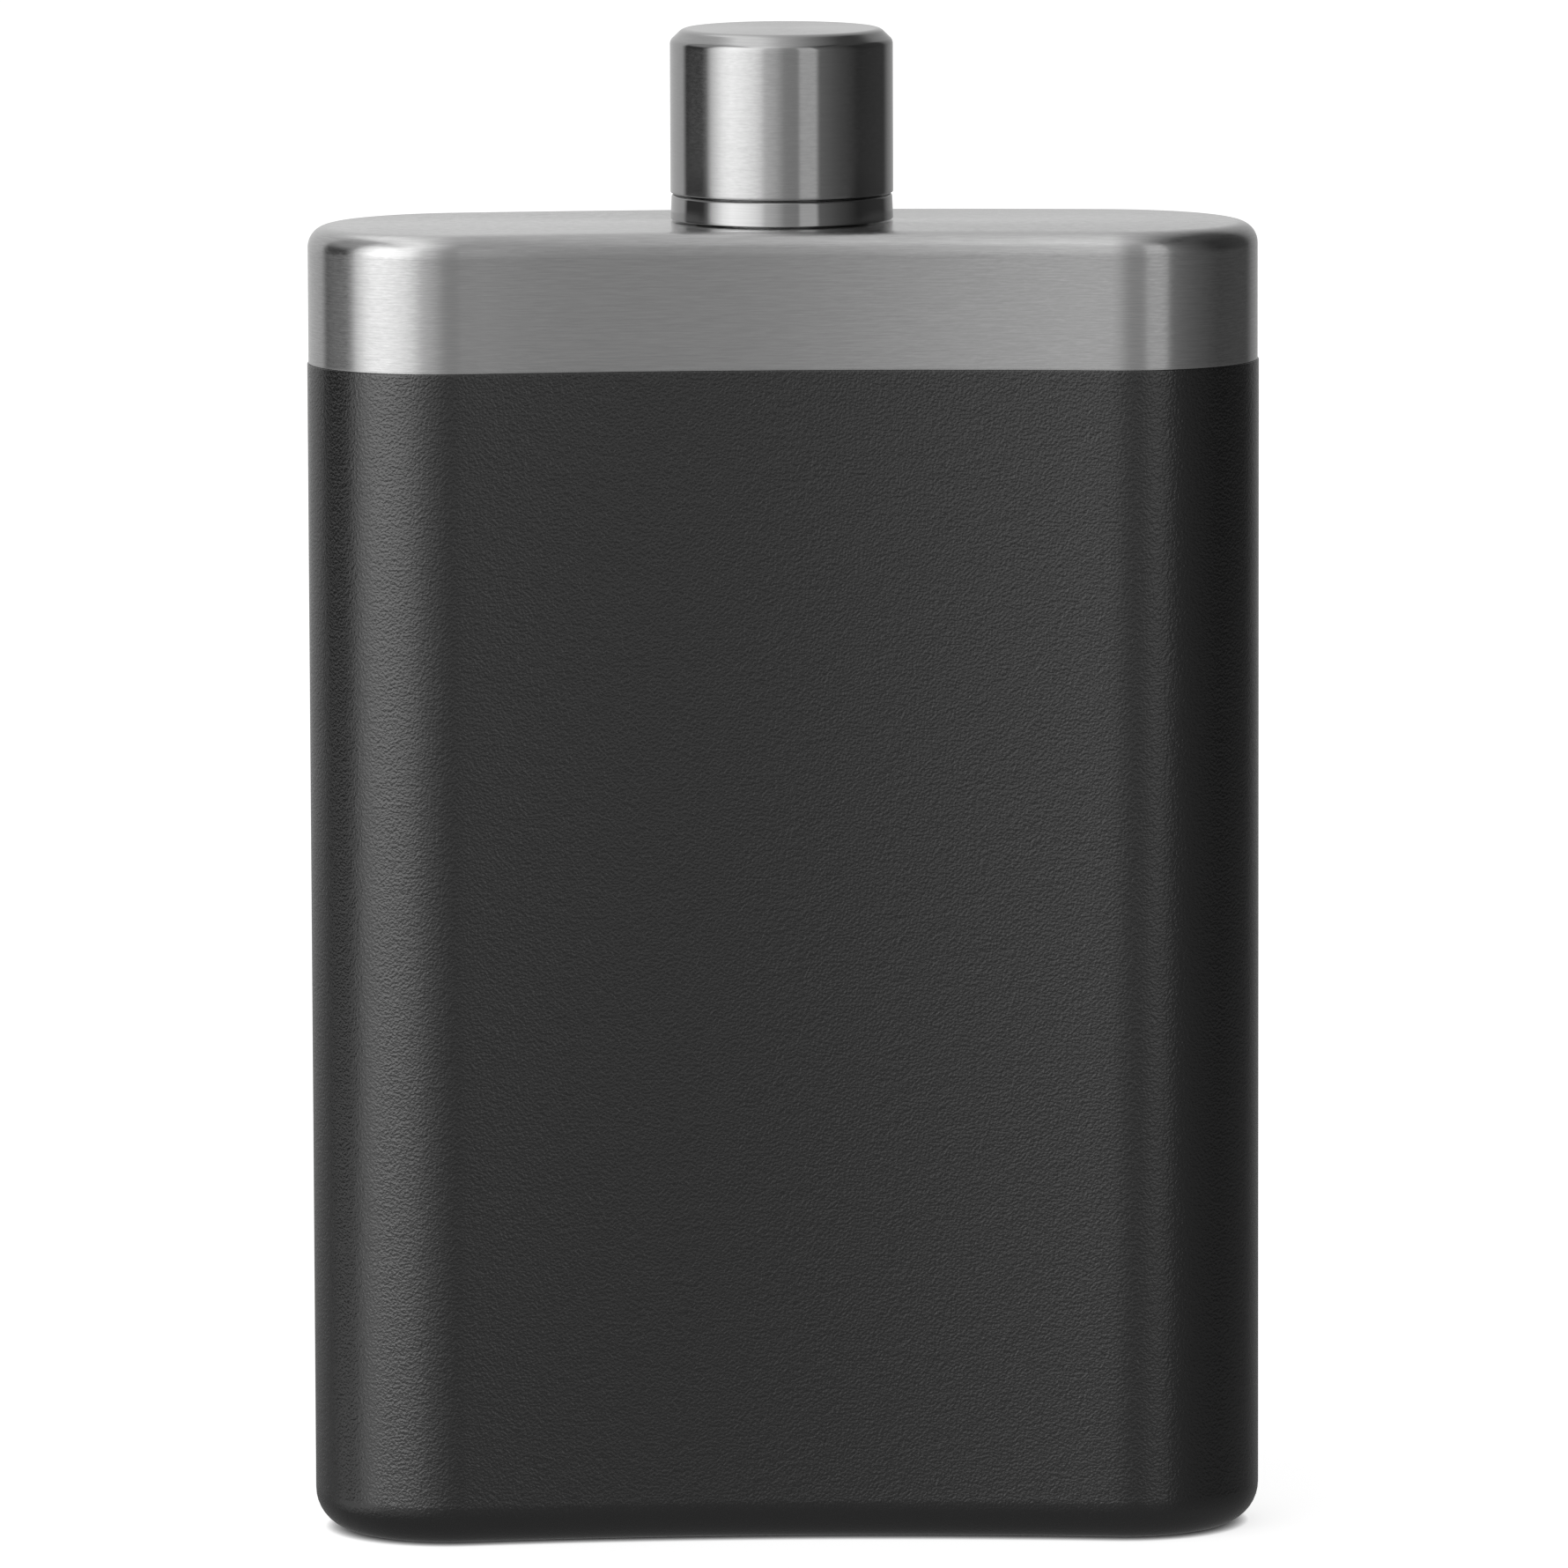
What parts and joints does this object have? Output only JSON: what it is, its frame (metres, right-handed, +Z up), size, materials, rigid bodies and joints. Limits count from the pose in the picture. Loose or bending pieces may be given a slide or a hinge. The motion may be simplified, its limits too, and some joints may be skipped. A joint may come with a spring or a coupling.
{
  "type": "hip flask",
  "caption": "Curved steel hip flask with a black coated body, bare steel shoulder and screw-off cap over a threaded neck.",
  "frame": {"origin": "on the surface that the flask stands on, under the middle of its overall width and depth", "axes": "+Z up along the neck; the hollow front face looks along -Y and the round back face along +Y; +X to the right seen from the front"},
  "size_m": [0.09, 0.0302, 0.1427],
  "materials": {
    "body_coat": "black powder coat, fine grain",
    "brushed_steel": "brushed along the girth",
    "bright_steel": "turned and polished",
    "liner_plastic": "moulded",
    "seal_silicone": "matte"
  },
  "bodies": {
    "flask": {"body_sleeve": "body_coat", "base_plate": "brushed_steel", "shoulder": "brushed_steel", "neck": "bright_steel", "neck_collar": "bright_steel"},
    "seal": {"cap_seal": "seal_silicone"},
    "cap": {"cap_shell": "brushed_steel", "cap_liner": "liner_plastic"}
  },
  "joints": [
    {"name": "cap_lift", "type": "slide", "parent": "flask", "child": "seal", "axis": [0, 0, 1], "range_m": [0, 0.01801]},
    {"name": "cap_turn", "type": "hinge", "parent": "seal", "child": "cap", "pos_m": [0, 0.0011, 0.1272], "axis": [0, 0, 1], "range_deg": [0, 2160]}
  ],
  "couplings": [
    {"joint": "cap_lift", "follows": "cap_turn", "m_per_rad": 0.00047746}
  ]
}
